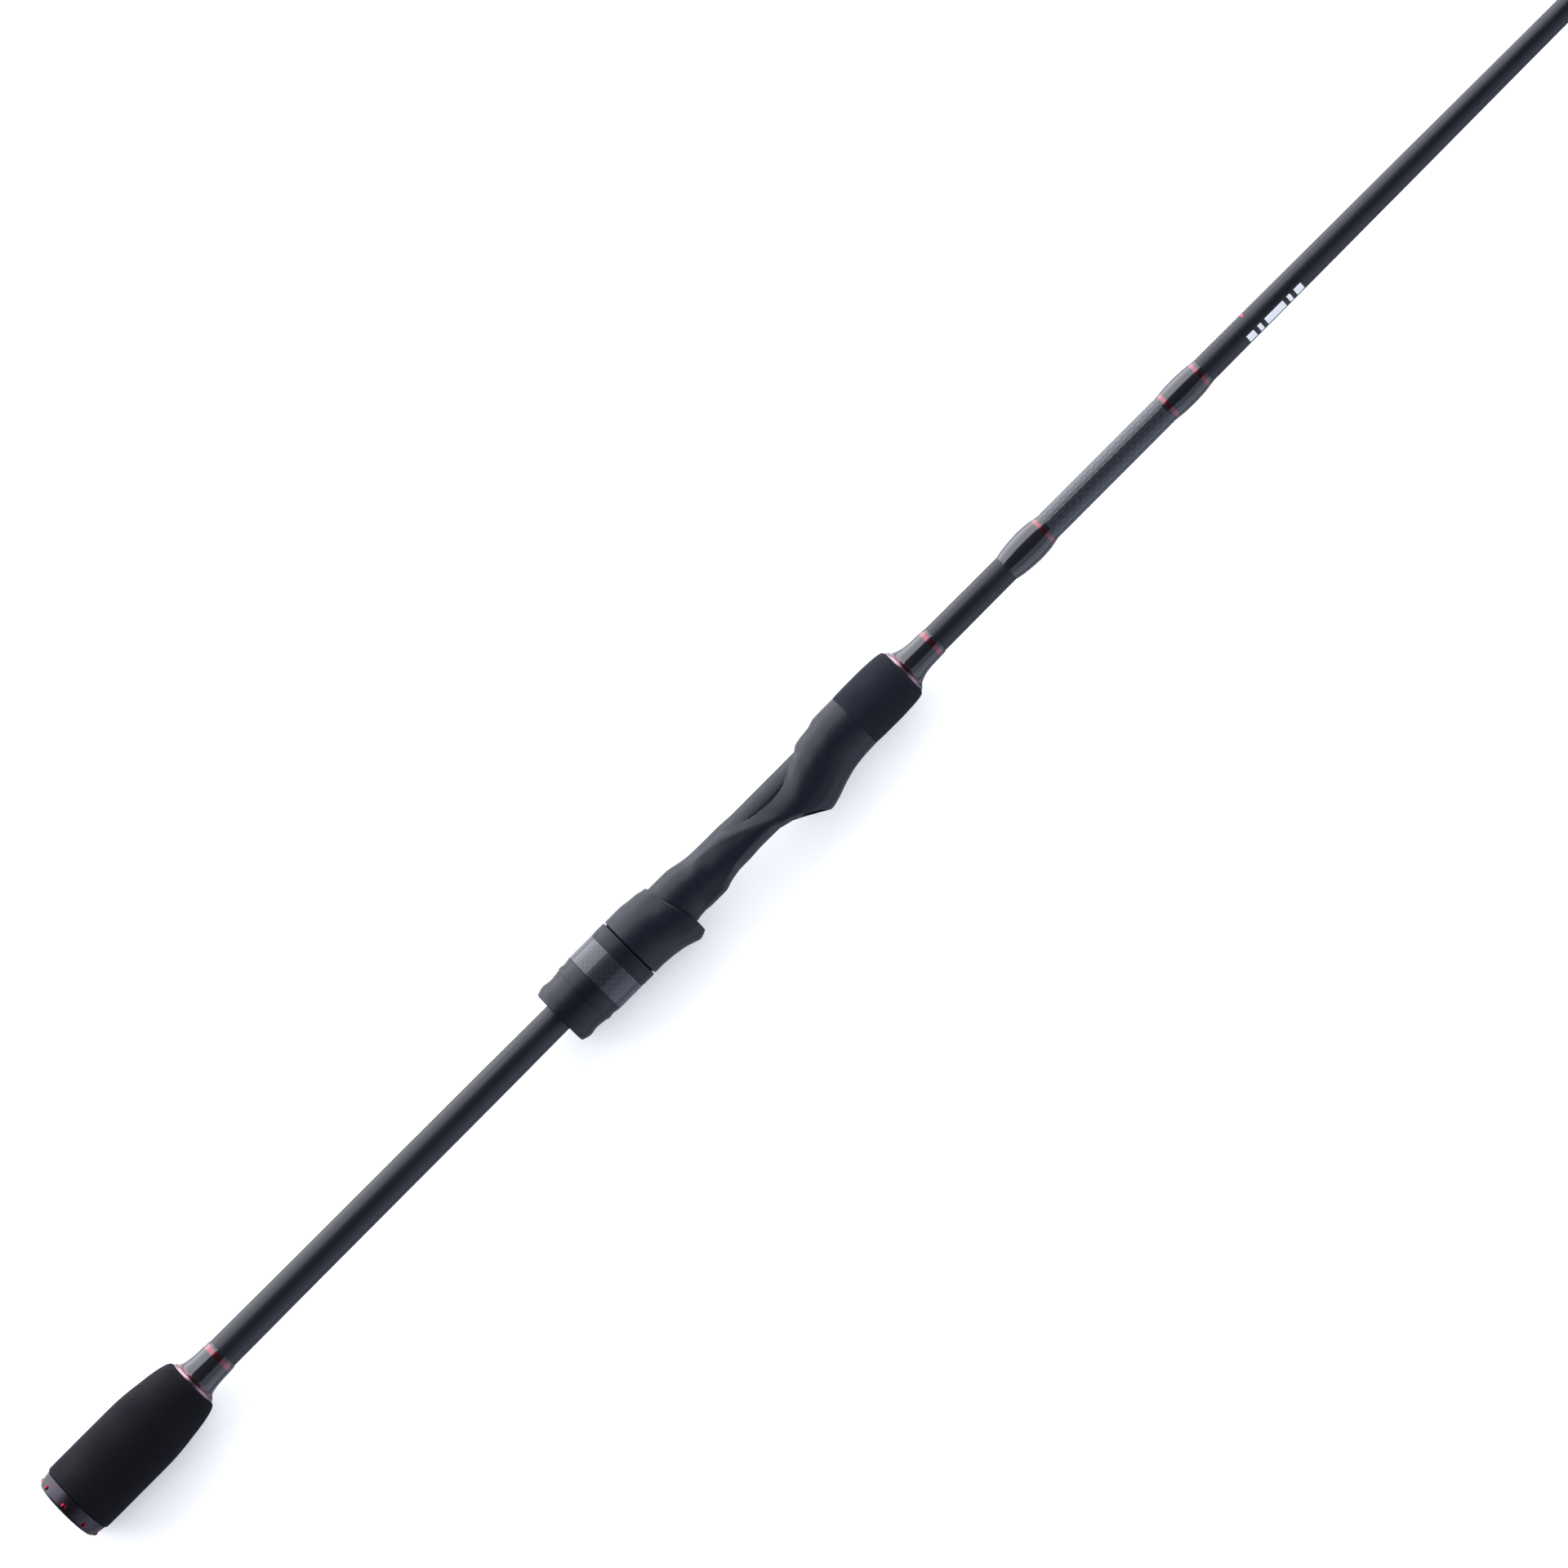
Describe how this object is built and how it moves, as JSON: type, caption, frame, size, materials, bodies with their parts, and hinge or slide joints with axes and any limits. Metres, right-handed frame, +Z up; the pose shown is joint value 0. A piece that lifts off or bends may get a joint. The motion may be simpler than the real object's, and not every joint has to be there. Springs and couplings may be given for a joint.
{
  "type": "spinning rod",
  "caption": "One-piece medium spinning rod with split foam grips, a skeleton reel seat whose nut-driven hood clamps the reel foot, line guides and a tip-top.",
  "frame": {"origin": "centre of the flat on the butt cap's end, on the axis of the blank", "axes": "+X along the blank from the butt to the tip; the reel and the line guides are on the -Y side; +Z is up when the rod lies on its side"},
  "size_m": [2.1302, 0.0577, 0.0282],
  "materials": {
    "blank_carbon": "unsanded carbon blank, dark blue-grey, satin clear coat",
    "butt_cap_metal": "gunmetal anodised aluminium, satin",
    "red_anodised": "red anodised, domed and polished",
    "eva_foam": "black EVA foam, fine closed cells, ground smooth",
    "winding_check_metal": "silver anodised, bevelled",
    "red_thread": "metallic red thread under clear epoxy",
    "epoxy_thread": "black nylon thread under glossy clear epoxy",
    "seat_resin": "graphite-filled moulded nylon, satin dark blue-grey coat",
    "core_tube_carbon": "carbon tube, satin clear coat",
    "arbor_tape": "glass-fibre tape and epoxy bushing, hidden",
    "woven_carbon": "woven carbon cloth under clear coat",
    "trim_ring_plastic": "painted trim ring, satin dark blue",
    "guide_steel": "stainless steel, dark smoke plating",
    "guide_ceramic": "polished black ceramic"
  },
  "bodies": {
    "rod": {"blank": "blank_carbon", "butt_cap": "butt_cap_metal", "butt_stud_1": "red_anodised", "butt_stud_2": "red_anodised", "butt_stud_3": "red_anodised", "butt_stud_4": "red_anodised", "butt_stud_5": "red_anodised", "butt_stud_6": "red_anodised", "butt_stud_7": "red_anodised", "butt_stud_8": "red_anodised", "rear_grip": "eva_foam", "foregrip": "eva_foam", "rear_winding_check": "winding_check_metal", "front_winding_check": "winding_check_metal", "rear_wrap_trim_lower": "red_thread", "rear_wrap_trim_upper": "red_thread", "front_wrap_trim_lower": "red_thread", "front_wrap_trim_upper": "red_thread", "lower_blank_wrap_trim": "red_thread", "upper_wrap_trim_lower": "red_thread", "upper_wrap_trim_upper": "red_thread", "rear_wrap": "epoxy_thread", "front_wrap": "epoxy_thread", "lower_blank_wrap": "epoxy_thread", "upper_blank_wrap": "epoxy_thread", "seat_body": "seat_resin", "seat_core_tube": "core_tube_carbon", "seat_arbor_rear": "arbor_tape", "seat_arbor_front": "arbor_tape", "carbon_sleeve": "woven_carbon", "guide_1_ring": "guide_ceramic", "guide_1_frame": "guide_steel", "guide_1_wrap_front": "epoxy_thread", "guide_1_wrap_rear": "epoxy_thread", "guide_2_ring": "guide_ceramic", "guide_2_frame": "guide_steel", "guide_2_wrap_front": "epoxy_thread", "guide_2_wrap_rear": "epoxy_thread", "guide_3_ring": "guide_ceramic", "guide_3_frame": "guide_steel", "guide_3_wrap": "epoxy_thread", "guide_4_ring": "guide_ceramic", "guide_4_frame": "guide_steel", "guide_4_wrap": "epoxy_thread", "guide_5_ring": "guide_ceramic", "guide_5_frame": "guide_steel", "guide_5_wrap": "epoxy_thread", "guide_6_ring": "guide_ceramic", "guide_6_frame": "guide_steel", "guide_6_wrap": "epoxy_thread", "guide_7_ring": "guide_ceramic", "guide_7_frame": "guide_steel", "guide_7_wrap": "epoxy_thread", "tip_top_frame": "guide_steel", "tip_top_ring": "guide_ceramic", "tip_wrap": "epoxy_thread"},
    "hood": {"sliding_hood": "seat_resin"},
    "nut": {"nut_core": "seat_resin", "nut_carbon_ring": "woven_carbon", "nut_front_ring": "trim_ring_plastic"}
  },
  "joints": [
    {"name": "hood_slide", "type": "slide", "parent": "rod", "child": "hood", "axis": [1, 0, 0], "range_m": [0, 0.0151]},
    {"name": "nut_turn", "type": "hinge", "parent": "hood", "child": "nut", "pos_m": [0.2551, -0.0005, 0], "axis": [1, 0, 0], "range_deg": [0, 2160]}
  ],
  "couplings": [
    {"joint": "hood_slide", "follows": "nut_turn", "m_per_rad": 0.00039789}
  ]
}
